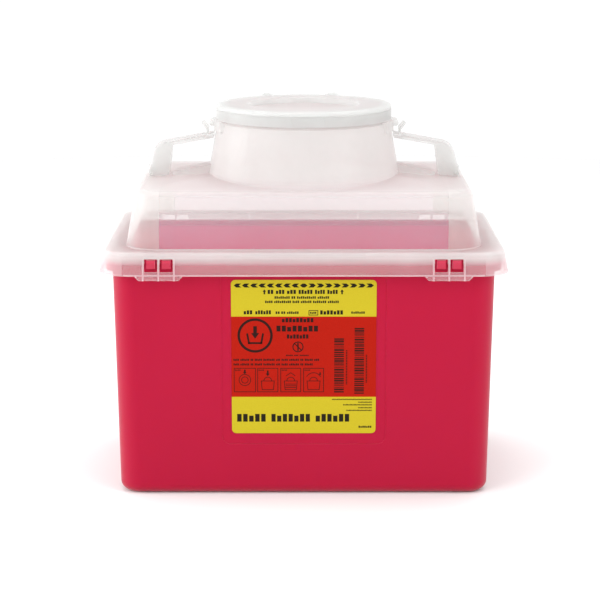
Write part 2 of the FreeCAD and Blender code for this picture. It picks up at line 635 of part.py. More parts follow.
def handle_right():
    """Channel-section strap: a bar to grip and a deep post down to the hinge."""
    x, z = HANDLE_PIVOT
    low = z - BARREL_RADIUS
    below = low - OVERLAP
    start = BAR_END[0] - OVERLAP
    wide = (-HANDLE_HALF, HANDLE_HALF)
    strap = across(under_strap(0, low), HANDLE_HALF)
    opening = prism_along_y([(start, below), (start, GRIP_END_Z), GRIP_CORNER,
                             (POST_FOOT_X, low + POST_FOOT_RISE), (x, low), (x, below)], wide)
    hollow = across(under_strap(HANDLE_WEB, below), HANDLE_HALF - HANDLE_WEB)
    hollow = hollow.common(box((BAR_END[0] + HOLLOW_START, x + STRAP_REACH), wide,
                               (below, BAR_END[1])))
    slot = box((x - BARREL_RADIUS - SLOT_CLEARANCE, x + STRAP_REACH),
               (HANDLE_WEB - HANDLE_HALF, HANDLE_HALF - HANDLE_WEB), (below, z + SLOT_HEIGHT))
    corner = box((x, x + STRAP_REACH), wide, (below, z))
    corner = corner.cut(rod_along_y(x, z, BARREL_RADIUS, HANDLE_HALF))
    strap = strap.cut([opening, hollow, slot, corner])
    arm = box((x + BARREL_RADIUS - HANDLE_WEB, x + BARREL_RADIUS),
              (-BARREL_HALF, BARREL_HALF), (z, z + SLOT_HEIGHT + OVERLAP))
    barrel = rod_along_y(x, z, BARREL_RADIUS, BARREL_HALF)
    strap = strap.fuse([barrel, arm] + handle_tongue())
    return strap.cut(rod_along_y(x, z, PIN_RADIUS + PIN_FIT, HANDLE_HALF)).removeSplitter()


def handle_tongue():
    """Tongue that hooks behind the keeper bar, with a two-pronged finger tab to free it."""
    near = KEEPER_X + KEEPER_RADIUS + PRONG_GAP
    far = near + PRONG_THICKNESS
    root = GRIP_END_Z + OVERLAP
    bend = KEEPER_Z - PRONG_BEND_DROP
    out, up = PRONG_TAB
    profile = [(near, root), (far, root), (far, bend), (far + out, bend + up),
               (far + out - PRONG_THICKNESS, bend + up + OVERLAP), (near, bend + PRONG_THICKNESS)]
    return [prism_along_y(profile, sorted(side * y for y in PRONG_RANGE))
            for side in (-1, 1)]


# ---- cap ring and entry flap ----------------------------------------------------------
def on_cap(shape):
    """Turn a piece of the cap by the angle at which the cap sits on the neck."""
    shape.rotate(ORIGIN, UP, CAP_TURN)
    return shape


def cap_ring():
    """Channel-section ring pressed over the neck, with hinge lugs and a thumb flat."""
    inner = CAP_RADIUS - CAP_WALL
    lip = CAP_BORE + CAP_WALL
    lip_z = FINISH_TOP_Z - CAP_LIP_DROP
    hook = FINISH_RADIUS + CAP_HOOK_FIT
    hook_z = FINISH_TOP_Z - CAP_HOOK_DROP
    body = turned([
        (CAP_BORE, lip_z), (lip, lip_z), (lip, FINISH_TOP_Z), (inner, FINISH_TOP_Z),
        (inner, hook_z), (hook, hook_z - CAP_HOOK_STEP), (hook, hook_z - 2 * CAP_HOOK_STEP),
        (inner, CAP_SKIRT_Z),
        (CAP_RADIUS, CAP_SKIRT_Z), (CAP_RADIUS, CAP_SEAT_Z), (CAP_BORE, CAP_SEAT_Z)])
    z_range = (CAP_SKIRT_Z - OVERLAP, CAP_SEAT_Z + OVERLAP)
    front = box((-CAP_RADIUS, CAP_RADIUS), (-2 * CAP_RADIUS, -THUMB_FLAT), z_range)
    wide = box((-THUMB_HALF, THUMB_HALF), (-2 * CAP_RADIUS, 0), z_range)
    for low, high in ((FINISH_TOP_Z - CAP_BACKING_DROP, CAP_SEAT_Z), (CAP_SKIRT_Z, hook_z)):
        backing = ring(CAP_RADIUS - CAP_BACKING[0], inner - CAP_BACKING[1], low, high)
        body = body.fuse(backing.common(wide))
    return on_cap(body.cut(front).fuse(flap_lugs()).removeSplitter())


def flap_lugs():
    """Two lugs and a pin on either side of each knuckle of the entry flap."""
    y, z = FLAP_AXIS
    bottom = CAP_SKIRT_Z + LUG_FOOT_RISE
    top = CAP_SEAT_Z - CAP_WALL / 2
    profile = [(y - LUG_ROOT, bottom), (y - LUG_SLOPE[0], bottom),
               (y + LUG_RADIUS, z - LUG_SLOPE[1]), (y + LUG_RADIUS, z),
               (y - LUG_RADIUS, z), (y - LUG_RADIUS, top), (y - LUG_ROOT, top)]
    keep_out = ring(CAP_RADIUS - CAP_WALL / 2, 0, bottom - OVERLAP, top + OVERLAP)
    pieces = []
    for place in (-KNUCKLE_X, KNUCKLE_X):
        pieces.append(rod_along_x(y, z, PIN_RADIUS, (place - LUG_RANGE[1],
                                                     place + LUG_RANGE[1])))
        for side in (-1, 1):
            x_range = sorted(place + side * x for x in LUG_RANGE)
            pieces.append(prism_along_x(profile, x_range).cut(keep_out))
            pieces.append(rod_along_x(y, z, LUG_RADIUS, x_range))
    return pieces


def entry_flap():
    """Round flap with a dished middle, a plug lip and two hinge knuckles."""
    low = CAP_SEAT_Z + FLAP_LIFT
    top = CLOSURE_TOP_Z
    under = top - CAP_WALL
    dish = top - DISH_DEPTH
    lead_in, slope = FLAP_PLUG_LEAD_IN
    plate = turned([
        (0, dish - CAP_WALL), (DISH_RADIUS, dish - CAP_WALL), (DISH_RADIUS + CAP_WALL, under),
        (FLAP_PLUG_RADIUS - CAP_WALL, under), (FLAP_PLUG_RADIUS - CAP_WALL, FLAP_PLUG_Z),
        (FLAP_PLUG_RADIUS - lead_in, FLAP_PLUG_Z), (FLAP_PLUG_RADIUS, FLAP_PLUG_Z + slope),
        (FLAP_PLUG_RADIUS, under), (CAP_RADIUS - CAP_WALL, under),
        (CAP_RADIUS - CAP_WALL, low), (CAP_RADIUS, low), (CAP_RADIUS, top),
        (DISH_RADIUS, top), (DISH_RADIUS - DISH_LEAN, dish), (0, dish)])
    plate = plate.makeFillet(FLAP_EDGE, level_rings(plate, CAP_RADIUS, top))
    plate = plate.makeFillet(DISH_EDGE, level_rings(plate, DISH_RADIUS, top))
    y, z = FLAP_AXIS
    arm_z = (CAP_SEAT_Z + KNUCKLE_ARM_INSET[0], top - KNUCKLE_ARM_INSET[1])
    pieces = []
    bores = []
    for place in (-KNUCKLE_X, KNUCKLE_X):
        x_range = (place - KNUCKLE_HALF, place + KNUCKLE_HALF)
        arm = box(x_range, (y - KNUCKLE_ARM, y), arm_z)
        pieces += [arm, rod_along_x(y, z, KNUCKLE_RADIUS, x_range)]
        bores.append(rod_along_x(y, z, PIN_RADIUS + PIN_FIT,
                                 (x_range[0] - OVERLAP, x_range[1] + OVERLAP)))
    return on_cap(plate.fuse(pieces).cut(bores).removeSplitter())


def level_rings(shape, radius, z):
    """Round edges of this radius at height z."""
    return [edge for edge in shape.Edges
            if edge.BoundBox.ZLength < 0.01 and abs(edge.BoundBox.ZMin - z) < 0.01
            and abs(edge.BoundBox.XMax - radius) < 0.1]


# ---- files ----------------------------------------------------------------------------
def main():
    os.makedirs("parts", exist_ok=True)
    right = handle_right()
    nodes = {
        "base_bin": base_bin(),
        "front_label": front_label(),
        "lid_top": lid_top(),
        "handle_right": right,
        "handle_left": mirrored(right, ALONG_X),
        "cap_ring": cap_ring(),
        "entry_flap": entry_flap(),
    }
    for name, shape in nodes.items():
        shape.exportStep(f"parts/{name}.step")


main()
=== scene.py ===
from math import cos, pi, radians, sin

import bmesh
import bpy
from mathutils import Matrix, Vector


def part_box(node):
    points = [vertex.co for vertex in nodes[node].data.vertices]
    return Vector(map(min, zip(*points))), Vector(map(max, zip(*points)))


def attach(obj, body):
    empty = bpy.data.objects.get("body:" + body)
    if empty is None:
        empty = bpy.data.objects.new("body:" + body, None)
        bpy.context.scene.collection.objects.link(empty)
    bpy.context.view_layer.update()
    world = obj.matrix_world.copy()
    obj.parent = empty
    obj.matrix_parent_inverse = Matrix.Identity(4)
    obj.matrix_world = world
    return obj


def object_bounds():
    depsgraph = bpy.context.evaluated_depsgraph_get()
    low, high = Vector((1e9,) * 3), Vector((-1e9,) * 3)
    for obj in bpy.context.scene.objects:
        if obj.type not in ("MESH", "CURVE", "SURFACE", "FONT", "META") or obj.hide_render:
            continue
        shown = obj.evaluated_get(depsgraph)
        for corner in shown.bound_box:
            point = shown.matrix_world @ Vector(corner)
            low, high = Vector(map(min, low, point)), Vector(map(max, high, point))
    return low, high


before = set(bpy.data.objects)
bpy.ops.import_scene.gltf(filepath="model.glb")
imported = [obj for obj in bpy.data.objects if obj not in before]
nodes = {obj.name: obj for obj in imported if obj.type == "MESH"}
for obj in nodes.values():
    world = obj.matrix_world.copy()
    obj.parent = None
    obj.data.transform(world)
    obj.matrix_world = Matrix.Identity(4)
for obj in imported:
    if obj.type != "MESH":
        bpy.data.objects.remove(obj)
cad_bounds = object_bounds()

MM = 0.001
ALONG_X = Vector((1, 0, 0))

# ---- places taken from the frame -------------------------------------------------------------
whole_low, whole_high = cad_bounds
middle = (whole_low + whole_high) / 2
label_low, label_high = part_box("front_label")
bin_low, bin_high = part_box("base_bin")
top_low, top_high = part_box("lid_top")
top_length = top_high.x - top_low.x
top_height = top_high.z - top_low.z

HEM_PROUD = 0.4 * MM                              # the skirt's hem stands out by this much
RIB_PROUD = 0.8 * MM                              # and the ribs on it by this much
TONGUE_DROP = 3.5 * MM                            # the tongues hang lower than the skirt
SKIRT_SLOPE = 3.0 / 18.0                          # inward lean of the skirt per unit of height
CATCH_BLOCK_DEPTH = 3.0 * MM                      # outermost part of the bin: its catch blocks

WINDOW_HALF = 0.3505 * top_length                 # half width of the polished window band
FLANGE_Z = top_low.z + 0.1756 * top_height        # top of the flat flange
SHOULDER_Z = top_low.z + 0.550 * top_height       # where the walls round over to the neck
SKIRT_Z = top_low.z + TONGUE_DROP
SKIRT_HALF_X = top_high.x - HEM_PROUD
SKIRT_HALF_Y = top_high.y - RIB_PROUD - SKIRT_SLOPE * TONGUE_DROP
LIP_HALF_X = bin_high.x - 7.4 * MM                # the lip inside the bin's mouth, from the
LIP_HALF_Y = bin_high.y - 11.3 * MM               # bin's rim and from its catch blocks


# ---- node-tree helpers -----------------------------------------------------------------------
def new_material(name):
    """An empty node material and its tree."""
    material = bpy.data.materials.new(name)
    material.use_nodes = True
    material.node_tree.nodes.clear()
    return material, material.node_tree


def node(tree, kind, **values):
    """Adds a node, setting its own properties and any input named like `Base_Color`."""
    made = tree.nodes.new(kind)
    for key, value in values.items():
        if key.replace("_", " ") in made.inputs:
            made.inputs[key.replace("_", " ")].default_value = value
        else:
            setattr(made, key, value)
    return made


def link(tree, source, target):
    tree.links.new(source, target)


def place(tree):
    """The point's place on the object at rest."""
    return node(tree, "ShaderNodeTexCoord").outputs["Object"]


def noise(tree, scale, detail=2.0, stretch=(1, 1, 1)):
    """Noise fixed to the object, `scale` features per metre."""
    mapping = node(tree, "ShaderNodeMapping", Scale=stretch)
    link(tree, place(tree), mapping.inputs["Vector"])
    made = node(tree, "ShaderNodeTexNoise", Scale=scale, Detail=detail)
    link(tree, mapping.outputs["Vector"], made.inputs["Vector"])
    return made.outputs["Fac"]


def between(tree, value, low, high, start=0.0, end=1.0):
    """Maps a value that runs from start to end onto low..high."""
    made = node(tree, "ShaderNodeMapRange", To_Min=low, To_Max=high, From_Min=start,
                From_Max=end)
    link(tree, value, made.inputs["Value"])
    return made.outputs["Result"]


def maths(tree, operation, *values):
    """One arithmetic node; a value is a number or a socket."""
    made = node(tree, "ShaderNodeMath", operation=operation)
    for socket, value in zip(made.inputs, values):
        if isinstance(value, (int, float)):
            socket.default_value = value
        else:
            link(tree, value, socket)
    return made.outputs[0]


def axes(tree):
    """The x, y and z of the point's place."""
    split = node(tree, "ShaderNodeSeparateXYZ")
    link(tree, place(tree), split.inputs[0])
    return split.outputs


def bump(tree, height, depth, strength=1.0):
    """Normal from a 0..1 height that is `depth` metres deep."""
    made = node(tree, "ShaderNodeBump", Strength=strength, Distance=depth)
    link(tree, height, made.inputs["Height"])
    return made.outputs["Normal"]


def colours(tree, factor, first, second):
    """A colour between two, by a 0..1 factor."""
    made = node(tree, "ShaderNodeMix", data_type="RGBA")
    for socket, colour in zip((made.inputs[6], made.inputs[7]), (first, second)):
        if isinstance(colour, tuple):
            socket.default_value = (*colour, 1)
        else:
            link(tree, colour, socket)
    link(tree, factor, made.inputs[0])
    return made.outputs[2]


def mixed(tree, factor, first, second):
    """Two shaders mixed; the factor is a number or a socket."""
    made = node(tree, "ShaderNodeMixShader")
    if isinstance(factor, (int, float)):
        made.inputs[0].default_value = factor
    else:
        link(tree, factor, made.inputs[0])
    link(tree, first, made.inputs[1])
    link(tree, second, made.inputs[2])
    return made.outputs[0]


def put_out(tree, shader):
    link(tree, shader, node(tree, "ShaderNodeOutputMaterial").inputs["Surface"])


def faces_inward(tree):
    """1 on faces that look towards the upright middle axis, otherwise 0."""
    spot = node(tree, "ShaderNodeTexCoord")
    flat = node(tree, "ShaderNodeVectorMath", operation="MULTIPLY")
    flat.inputs[1].default_value = (1, 1, 0)
    link(tree, spot.outputs["Object"], flat.inputs[0])
    product = node(tree, "ShaderNodeVectorMath", operation="DOT_PRODUCT")
    link(tree, spot.outputs["Normal"], product.inputs[0])
    link(tree, flat.outputs[0], product.inputs[1])
    clearly_inward = -10 * MM
    return maths(tree, "LESS_THAN", product.outputs["Value"], clearly_inward)


# ---- materials -------------------------------------------------------------------------------
BIN_OUTSIDE = ((0.425, 0.0016, 0.036), (0.465, 0.0030, 0.042))
# Inside colour: painted light, a brighter copy of the same red that stands in for light bouncing
# about inside the bin.
BIN_INSIDE_PAINTED_LIGHT = ((0.80, 0.020, 0.150), (0.84, 0.026, 0.165))
# Catch-block colour: painted light, a lighter red that stands in for light falling on the catch
# blocks' proud faces.
CATCH_BLOCK_PAINTED_LIGHT = (0.52, 0.040, 0.085)
BIN_GLOW = (0.72, 0.025, 0.19, 1)                 # light that comes through the thin wall
BIN_GLOW_SHARE = 0.30


def red_plastic():
    """Crimson polypropylene with a fine spark-eroded grain and a soft satin shine, with painted
    light: a brighter red on the inside faces and a lighter red on the catch blocks.
    """
    material, tree = new_material("red_polypropylene")
    shader = node(tree, "ShaderNodeBsdfPrincipled", IOR=1.49, Sheen_Weight=0.35,
                  Sheen_Roughness=0.45, Specular_IOR_Level=0.16, Subsurface_Weight=0.3,
                  Subsurface_Radius=(0.007, 0.0010, 0.0015), Subsurface_Scale=1.0)
    cloud = noise(tree, scale=16.0, detail=3.0, stretch=(1, 1, 0.45))
    outer = colours(tree, cloud, *BIN_OUTSIDE)
    inner = colours(tree, cloud, *BIN_INSIDE_PAINTED_LIGHT)
    y = maths(tree, "ABSOLUTE", axes(tree)[1])
    # The outermost faces, the catch blocks, get the painted lighter red.
    blocks = maths(tree, "GREATER_THAN", y, bin_high.y - CATCH_BLOCK_DEPTH)
    outer = colours(tree, blocks, outer, CATCH_BLOCK_PAINTED_LIGHT)
    # Faces that look inward get the painted brighter red.
    link(tree, colours(tree, faces_inward(tree), outer, inner), shader.inputs["Base Color"])
    satin = between(tree, noise(tree, scale=70.0, detail=4.0), 0.40, 0.56)
    link(tree, satin, shader.inputs["Roughness"])
    grain = bump(tree, noise(tree, scale=1800.0, detail=3.0), 0.04 * MM)
    link(tree, grain, shader.inputs["Normal"])
    glow = node(tree, "ShaderNodeBsdfTranslucent", Color=BIN_GLOW)
    put_out(tree, mixed(tree, BIN_GLOW_SHARE, shader.outputs[0], glow.outputs[0]))
    return material


MILK_GLOW_SHARE = 0.62                            # of the milky light that passes through
SMALL_UNEVEN = 0.12                               # how far the haze varies over straps and cap
TOP_UNEVEN = 0.1                                  # and over the top
SEEN_THROUGH_SMALL = (0.96, 0.955, 0.95, 1)       # tint of what shows through straps and cap
SEEN_THROUGH_TOP = (0.965, 0.955, 0.945, 1)       # and through the top


def milk(tree, tint, roughness, grain):
    """The milky share of a translucent plastic: part reflects light and part lets it glow."""
    dull = node(tree, "ShaderNodeBsdfPrincipled", IOR=1.49, Roughness=roughness)
    glow = node(tree, "ShaderNodeBsdfTranslucent")
    link(tree, grain, dull.inputs["Normal"])
    link(tree, tint, dull.inputs["Base Color"])
    link(tree, tint, glow.inputs["Color"])
    return mixed(tree, MILK_GLOW_SHARE, dull.outputs[0], glow.outputs[0])


def ramp(tree, value, low, high, start=0.0, end=1.0):
    """Like `between`, with the low end read from a socket."""
    made = node(tree, "ShaderNodeMapRange", To_Max=high, From_Min=start, From_Max=end)
    link(tree, value, made.inputs["Value"])
    link(tree, low, made.inputs["To Min"])
    return made.outputs["Result"]


def haze_by_path(tree, haze, steep):
    """Haze of one face: `haze` looked at squarely, `steep` where the wall is looked along."""
    facing = node(tree, "ShaderNodeLayerWeight", Blend=0.5).outputs["Facing"]
    return ramp(tree, maths(tree, "POWER", facing, 2.0), haze, steep)


def clear_plastic(name, haze, steep, tints, roughness=0.3):
    """Milky see-through polypropylene: the rest of the light goes straight through."""
    material, tree = new_material(name)
    grain = bump(tree, noise(tree, scale=1400.0, detail=2.0), 0.03 * MM)
    clouds = between(tree, noise(tree, scale=35.0, detail=3.0),
                     haze * (1 - SMALL_UNEVEN), haze * (1 + SMALL_UNEVEN))
    body = milk(tree, colours(tree, noise(tree, scale=25.0), *tints), roughness, grain)
    through = node(tree, "ShaderNodeBsdfTransparent", Color=SEEN_THROUGH_SMALL)
    put_out(tree, mixed(tree, haze_by_path(tree, clouds, steep), through.outputs[0], body))
    return material


PROUD_MARGIN = 0.25 * MM                          # less than this counts as the plain skirt


def stands_proud(tree):
    """1 on the ribs, bars and hem that stand out from the leaning skirt, otherwise 0."""
    x, y, z = axes(tree)[:3]
    up = maths(tree, "SUBTRACT", z, SKIRT_Z)
    lean = maths(tree, "MULTIPLY", up, SKIRT_SLOPE)
    masks = []
    for along, half in ((y, SKIRT_HALF_Y), (x, SKIRT_HALF_X)):
        out = maths(tree, "ADD", maths(tree, "ABSOLUTE", along), lean)
        masks.append(maths(tree, "GREATER_THAN", out, half + PROUD_MARGIN))
    return maths(tree, "MAXIMUM", *masks)


def locating_lip(tree):
    """1 on the thin lip that reaches down inside the bin's mouth, otherwise 0."""
    x, y, z = axes(tree)[:3]
    near_x = maths(tree, "LESS_THAN", maths(tree, "ABSOLUTE", x), LIP_HALF_X)
    near_y = maths(tree, "LESS_THAN", maths(tree, "ABSOLUTE", y), LIP_HALF_Y)
    low = maths(tree, "LESS_THAN", z, FLANGE_Z - FLANGE_EDGE)
    return maths(tree, "MULTIPLY", maths(tree, "MULTIPLY", near_x, near_y), low)


# How milky each part of the clear top is, from 0, clear, to 1, opaque.
SKIRT_HAZE = (0.25, 0.36)                         # of its long sides and of its ends
FLANGE_HAZE = 0.64
RIB_HAZE = 0.62
WALL_HAZE = (0.21, 0.34)                          # in the window band and beside it
NECK_HAZE = 0.52
TOP_STEEP_HAZE = 0.7                              # of any wall that is looked along
LIP_THINNING = 0.35                               # share of the haze left on the inner lip

# Where one region gives way to the next; heights are from the flange unless said otherwise.
FLANGE_EDGE = 1 * MM                              # the raised walls start this far above it
FLANGE_RISE = (-10 * MM, -4 * MM)                 # over which skirt haze turns into flange haze
SHOULDER_RISE = (-6 * MM, 4 * MM)                 # from the shoulder: wall haze to neck haze
SKIRT_END_LENGTH = 20 * MM                        # from the ends of the skirt
WINDOW_FADE = (18 * MM, 34 * MM)                  # where the painted rosy glow of the windows fades
SKIRT_FADE = (-9 * MM, -6 * MM)                   # and where that of the skirt fades

TOP_MILK = ((0.815, 0.826, 0.822), (0.835, 0.846, 0.842))
# Skirt and window tints: painted red glow, a rosy colour that stands in for red light thrown onto
# the clear top by the bin.
SKIRT_PAINTED_GLOW = (0.91, 0.82, 0.85)
WINDOW_PAINTED_GLOW = (0.94, 0.83, 0.96)


def heights(level, offsets):
    """Heights given by how far they lie above a level."""
    return [level + offset for offset in offsets]


def top_haze(tree):
    """How milky the clear top is: ribs, skirt, flange, windows, corners and neck differ."""
    x, _, z = axes(tree)[:3]
    aside = maths(tree, "ABSOLUTE", x)
    ends = maths(tree, "GREATER_THAN", aside, top_high.x - SKIRT_END_LENGTH)
    skirt = ramp(tree, z, between(tree, ends, *SKIRT_HAZE), FLANGE_HAZE,
                 *heights(FLANGE_Z, FLANGE_RISE))
    ribbed = ramp(tree, stands_proud(tree), skirt, RIB_HAZE)
    corners = maths(tree, "GREATER_THAN", aside, WINDOW_HALF)
    raised = ramp(tree, z, between(tree, corners, *WALL_HAZE), NECK_HAZE,
                  *heights(SHOULDER_Z, SHOULDER_RISE))
    parts = node(tree, "ShaderNodeMix", data_type="FLOAT")
    link(tree, maths(tree, "GREATER_THAN", z, FLANGE_Z + FLANGE_EDGE), parts.inputs[0])
    link(tree, ribbed, parts.inputs[2])
    link(tree, raised, parts.inputs[3])
    clouds = between(tree, noise(tree, scale=35.0, detail=3.0), 1 - TOP_UNEVEN, 1 + TOP_UNEVEN)
    thinned = between(tree, locating_lip(tree), 1.0, LIP_THINNING)
    return maths(tree, "MULTIPLY", maths(tree, "MULTIPLY", parts.outputs[0], clouds), thinned)


def top_tint(tree):
    """Milk colour of the clear top, painted rosier in the windows and low on the skirt, where the
    red bin lies behind: a painted red glow that stands in for light thrown up from the bin."""
    x, _, z = axes(tree)[:3]
    window = maths(tree, "LESS_THAN", maths(tree, "ABSOLUTE", x), WINDOW_HALF)
    above = maths(tree, "GREATER_THAN", z, FLANGE_Z + FLANGE_EDGE)
    fading = between(tree, z, 1.0, 0.0, *heights(FLANGE_Z, WINDOW_FADE))
    # The painted rosy glow covers the window band above the flange and fades out higher up.
    painted_glow_in_window = maths(tree, "MULTIPLY", maths(tree, "MULTIPLY", window, above), fading)
    painted_glow_low = between(tree, z, 1.0, 0.0, *heights(FLANGE_Z, SKIRT_FADE))
    warm = colours(tree, noise(tree, scale=20.0), *TOP_MILK)
    skirt_painted_glow = colours(tree, painted_glow_low, warm, SKIRT_PAINTED_GLOW)
    return colours(tree, painted_glow_in_window, skirt_painted_glow, WINDOW_PAINTED_GLOW)


def top_plastic():
    """The clear top: polished in the middle of its front and back, frosted elsewhere."""
    material, tree = new_material("clear_polypropylene")
    grain = bump(tree, noise(tree, scale=1400.0, detail=2.0), 0.03 * MM)
    body = milk(tree, top_tint(tree), roughness=0.28, grain=grain)
    through = node(tree, "ShaderNodeBsdfTransparent", Color=SEEN_THROUGH_TOP)
    haze = haze_by_path(tree, top_haze(tree), TOP_STEEP_HAZE)
    put_out(tree, mixed(tree, haze, through.outputs[0], body))
    return material


LABEL_YELLOW = ((0.41, 0.33, 0.013), (0.45, 0.37, 0.017))
LABEL_RED = ((0.31, 0.0060, 0.0012), (0.35, 0.0085, 0.0020))
RED_BAND = (30.2 * MM, 96.0 * MM)                 # from the label's lower edge


def printed_film():
    """Glossy label film printed with a yellow, a red and a yellow band."""
    material, tree = new_material("printed_label_film")
    z = axes(tree)[2]
    lower = maths(tree, "GREATER_THAN", z, label_low.z + RED_BAND[0])
    upper = maths(tree, "LESS_THAN", z, label_low.z + RED_BAND[1])
    red_part = maths(tree, "MULTIPLY", lower, upper)
    speck = noise(tree, scale=900.0, detail=3.0)
    yellow = colours(tree, speck, *LABEL_YELLOW)
    red = colours(tree, speck, *LABEL_RED)
    shader = node(tree, "ShaderNodeBsdfPrincipled", IOR=1.46, Specular_IOR_Level=0.08)
    link(tree, colours(tree, red_part, yellow, red), shader.inputs["Base Color"])
    gloss = between(tree, noise(tree, scale=120.0, detail=3.0), 0.28, 0.42)
    link(tree, gloss, shader.inputs["Roughness"])
    link(tree, bump(tree, noise(tree, scale=45.0, detail=2.0), 0.06 * MM), shader.inputs["Normal"])
    put_out(tree, shader.outputs["BSDF"])
    return material


def ink(name, first, second):
    """Printing ink, slightly uneven in density."""
    material, tree = new_material(name)
    shader = node(tree, "ShaderNodeBsdfPrincipled", IOR=1.46, Specular_IOR_Level=0.08)
    link(tree, colours(tree, noise(tree, scale=1500.0, detail=3.0), first, second),
         shader.inputs["Base Color"])
    link(tree, between(tree, noise(tree, scale=300.0), 0.35, 0.5), shader.inputs["Roughness"])
    put_out(tree, shader.outputs["BSDF"])
    return material


def cover(name, material):
    """Gives a CAD node one material on all its faces."""
    slots = nodes[name].data.materials
    slots.clear()
    slots.append(material)


# ---- print on the label ----------------------------------------------------------------------
# From here to `printed`, places and sizes are millimetres on the label, from its lower left
# corner.  Words are rows of plain marks: nothing can be read.
INK_THICKNESS = 0.03
MARK_SHARE = 0.74                                 # part of its pitch that a mark fills
SHORT_MARK = 0.78                                 # height of a short mark beside a tall one
UPWARD, DOWNWARD = 1, -1
ARROW_HEAD_SHARE = 0.45                           # of an arrow's length
ARROW_SHAFT_SHARE = 0.22                          # half of the shaft's width, of the arrow's

FILL_LINE_PITCH = 6.53
FILL_LINE_GAP = 0.5
FILL_LINE_LOW = 119.6
FILL_LINE_HIGH = 122.8
FILL_LINE_NOTCH = 2.0
FILL_LINE_HEADS = 8                               # arrowheads on each side of the middle

PICTURE_LOW = 34.1
PICTURE_HIGH = 54.0
PICTURE_SIDES = ((1.8, 19.3), (20.5, 37.1), (38.9, 55.3), (57.1, 73.5))
PICTURE_BASE = PICTURE_LOW + 5.6                  # level of the middle of each drawing
PICTURE_LINE = 0.5
SMALL_PRINT_RIGHT = 112.0


def label_axes():
    """The label's lower left corner on its face, and its up and outward directions."""
    near = 0.5 * MM
    points = [vertex.co for vertex in nodes["front_label"].data.vertices]
    foot = min(point.y for point in points if point.z < label_low.z + near)
    head = min(point.y for point in points if point.z > label_high.z - near)
    corner = Vector((label_low.x, foot, label_low.z))
    up = Vector((0, head - foot, label_high.z - label_low.z)).normalized()
    return corner, up, ALONG_X.cross(up)


def block(left, low, width, height):
    """Outline of an upright rectangle."""
    return [(left, low), (left + width, low), (left + width, low + height),
            (left, low + height)]


def word(left, low, width, height, marks):
    """A word shown as a row of plain marks; no lettering."""
    pitch = width / marks
    shapes = []
    for k in range(marks):
        tall = height if (k * 5 + marks) % 3 else height * SHORT_MARK
        shapes.append(block(left + k * pitch, low, pitch * MARK_SHARE, tall))
    return shapes


def words(left, low, height, widths, pitch, gap=1.0):
    """A line of words, `gap` apart; `pitch` is that of the marks in them."""
    shapes = []
    for width in widths:
        shapes += word(left, low, width, height, max(1, round(width / pitch)))
        left += width + gap
    return shapes


def frame_lines(left, low, width, height, line):
    """Four bars that frame a rectangle."""
    return [block(left, low, width, line), block(left, low + height - line, width, line),
            block(left, low + line, line, height - 2 * line),
            block(left + width - line, low + line, line, height - 2 * line)]


def stroke(points, line):
    """A line of straight bars through the points."""
    shapes = []
    for start, end in zip(points, points[1:]):
        a, b = Vector(start), Vector(end)
        along = (b - a).normalized() * line / 2
        side = Vector((-along.y, along.x))
        shapes.append([tuple(p) for p in (a - along - side, b + along - side,
                                          b + along + side, a - along + side)])
    return shapes


def hoop(centre, radius, line, turns=(0.0, 1.0), steps=40):
    """Short bars round an arc; turns are shares of a full circle."""
    count = max(3, round(steps * (turns[1] - turns[0])))
    shapes = []
    for k in range(count):
        ends = [2 * pi * (turns[0] + (turns[1] - turns[0]) * (k + j) / count) for j in (0, 1)]
        inner, outer = radius - line / 2, radius + line / 2
        shapes.append([(centre[0] + r * cos(t), centre[1] + r * sin(t))
                       for r, t in ((inner, ends[0]), (outer, ends[0]), (outer, ends[1]),
                                    (inner, ends[1]))])
    return shapes


def arrow(tip, length, width, way):
    """A plain arrow whose tip is at `tip`."""
    x, y = tip
    head = y - way * length * ARROW_HEAD_SHARE
    tail = y - way * length
    thin = width * ARROW_SHAFT_SHARE
    shaft = block(x - thin, min(head, tail), 2 * thin, abs(head - tail))
    point = [(x - width / 2, head), (x + width / 2, head), (x, y)]
    return [shaft, point if way == UPWARD else point[::-1]]


def arrowhead(left, right, side):
    """Two halves of a notched arrowhead that points to the left, or to the right if side > 0."""
    level = (FILL_LINE_LOW + FILL_LINE_HIGH) / 2
    near, far = left + FILL_LINE_NOTCH, right - FILL_LINE_NOTCH
    halves = [[(left, level), (near, FILL_LINE_LOW), (right, FILL_LINE_LOW), (far, level)],
              [(left, level), (far, level), (right, FILL_LINE_HIGH), (near, FILL_LINE_HIGH)]]
    if side < 0:
        return halves
    return [[(left + right - x, y) for x, y in half][::-1] for half in halves]


def lozenge(left, right):
    """The shape in the middle of the fill line, where the two rows of arrowheads meet."""
    level = (FILL_LINE_LOW + FILL_LINE_HIGH) / 2
    near, far = left + FILL_LINE_NOTCH, right - FILL_LINE_NOTCH
    return [(left, level), (near, FILL_LINE_LOW), (far, FILL_LINE_LOW),
            (right, level), (far, FILL_LINE_HIGH), (near, FILL_LINE_HIGH)]


def fill_line():
    """The row of arrowheads along the top that marks the fill level."""
    label_middle = (label_high.x - label_low.x) / MM / 2
    shapes = []
    for side in range(-FILL_LINE_HEADS, FILL_LINE_HEADS + 1):
        left = label_middle + (side - 0.5) * FILL_LINE_PITCH + FILL_LINE_GAP / 2
        right = left + FILL_LINE_PITCH - FILL_LINE_GAP
        shapes += arrowhead(left, right, side) if side else [lozenge(left, right)]
    return shapes


